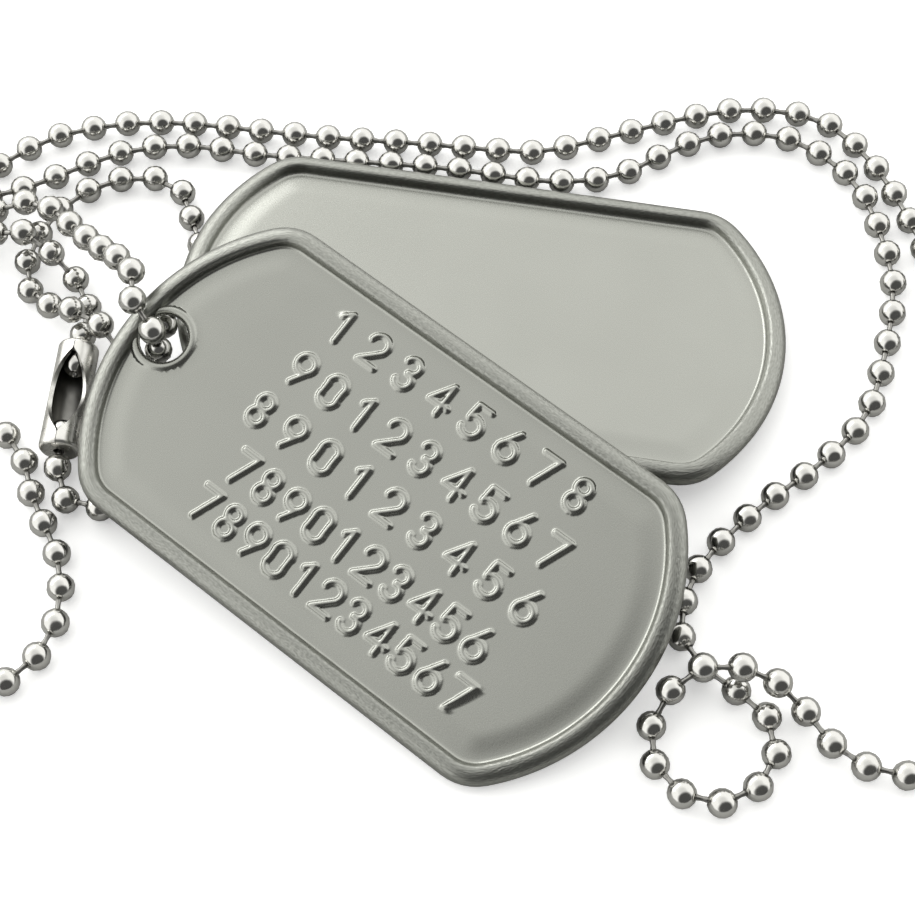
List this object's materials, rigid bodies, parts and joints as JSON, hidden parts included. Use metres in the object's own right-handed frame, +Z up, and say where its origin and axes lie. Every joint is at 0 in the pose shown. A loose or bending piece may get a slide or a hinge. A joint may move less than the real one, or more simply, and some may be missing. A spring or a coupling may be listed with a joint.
{
  "type": "identification dog tags on a ball chain",
  "caption": "Two pressed steel identification tags with rolled rims, one with rows of raised numbers, on one closed ball chain with a folded sleeve connector, lying loose.",
  "frame": {"origin": "middle of the footprint, on the surface that the tags and the chain lie on", "axes": "+Z up from that surface, +Y towards the back strands of the chain, +X towards the tags' ends without a hole"},
  "size_m": [0.1036, 0.0686, 0.0112],
  "materials": {
    "tag_steel": "satin, pressed and tumbled",
    "chain_steel": "polished",
    "connector_steel": "bright strip, duller inside"
  },
  "bodies": {
    "root": {"front_tag": "tag_steel", "second_tag": "tag_steel", "chain_near": "chain_steel", "chain_far": "chain_steel", "chain_connector": "connector_steel"}
  },
  "joints": []
}
